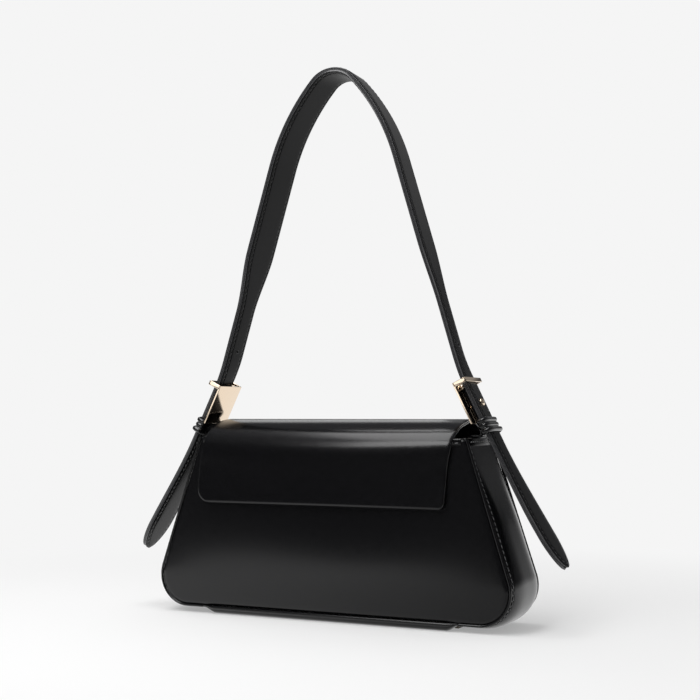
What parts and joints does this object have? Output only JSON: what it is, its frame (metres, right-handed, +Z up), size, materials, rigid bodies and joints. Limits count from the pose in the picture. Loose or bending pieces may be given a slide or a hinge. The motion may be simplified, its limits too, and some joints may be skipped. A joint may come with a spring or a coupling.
{
  "type": "baguette shoulder bag",
  "caption": "Slim trapezoid shoulder bag of smooth black leather with a fold-over flap, magnetic snap, and a tapered strap through plate buckles that ends in hanging tails.",
  "frame": {"origin": "middle of the base's underside, on the surface that the bag stands on", "axes": "+Z up, +X to the bag's right as seen from its front, the front with the flap faces -Y"},
  "size_m": [0.3492, 0.0732, 0.4091],
  "materials": {
    "leather": "smooth and glossy, black",
    "backing": "satin, black",
    "binding": "satin, black",
    "lining": "matte woven cloth, black",
    "gold": "polished, pale gold",
    "steel": "plain",
    "board": "matte fibreboard",
    "padding": "matte felt"
  },
  "bodies": {
    "bag": {"front_panel": "leather", "back_panel": "leather", "left_gusset": "leather", "right_gusset": "leather", "base_panel": "leather", "left_front_piping": "leather", "right_front_piping": "leather", "left_back_piping": "leather", "right_back_piping": "leather", "front_lining": "lining", "back_lining": "lining", "body_lining": "lining", "slip_pocket": "lining", "base_board": "board", "base_foam": "padding", "front_binding": "binding", "left_binding": "binding", "right_binding": "binding", "snap_socket": "gold", "snap_socket_washer": "steel", "left_tab_anchor": "leather", "right_tab_anchor": "leather"},
    "flap_top": {"flap_top": "leather", "flap_top_lining": "backing"},
    "flap_front": {"flap_front": "leather", "flap_front_lining": "backing", "snap_stud": "gold", "snap_stud_washer": "steel"},
    "handle": {"strap": "leather", "strap_lining": "backing", "left_tab": "leather", "right_tab": "leather", "left_buckle": "gold", "right_buckle": "gold", "left_pin": "gold", "right_pin": "gold", "left_stud": "gold", "right_stud": "gold"},
    "left_keeper": {"left_keeper": "leather"},
    "right_keeper": {"right_keeper": "leather"},
    "left_tail": {"left_tail": "leather", "left_tail_lining": "backing"},
    "right_tail": {"right_tail": "leather", "right_tail_lining": "backing"}
  },
  "joints": [
    {"name": "flap_top_hinge", "type": "hinge", "parent": "bag", "child": "flap_top", "pos_m": [0, 0.0267, 0.13373], "axis": [-1, 0, 0], "range_deg": [0, 20]},
    {"name": "flap_front_hinge", "type": "hinge", "parent": "flap_top", "child": "flap_front", "pos_m": [0, -0.01952, 0.14144], "axis": [-1, 0, 0], "range_deg": [0, 75]},
    {"name": "handle_swing", "type": "hinge", "parent": "bag", "child": "handle", "pos_m": [0, -0.004, 0.135], "axis": [-1, 0, 0], "range_deg": [-33, 33]},
    {"name": "left_keeper_slide", "type": "slide", "parent": "handle", "child": "left_keeper", "axis": [0.4415, 0, 0.8973], "range_m": [0, 0.0088]},
    {"name": "right_keeper_slide", "type": "slide", "parent": "handle", "child": "right_keeper", "axis": [-0.4415, 0, 0.8973], "range_m": [0, 0.0088]},
    {"name": "left_tail_flex", "type": "hinge", "parent": "handle", "child": "left_tail", "pos_m": [-0.12019, -0.004, 0.1365], "axis": [0, 1, 0], "range_deg": [-12, 50]},
    {"name": "right_tail_flex", "type": "hinge", "parent": "handle", "child": "right_tail", "pos_m": [0.12019, -0.004, 0.1365], "axis": [0, -1, 0], "range_deg": [-12, 50]}
  ]
}
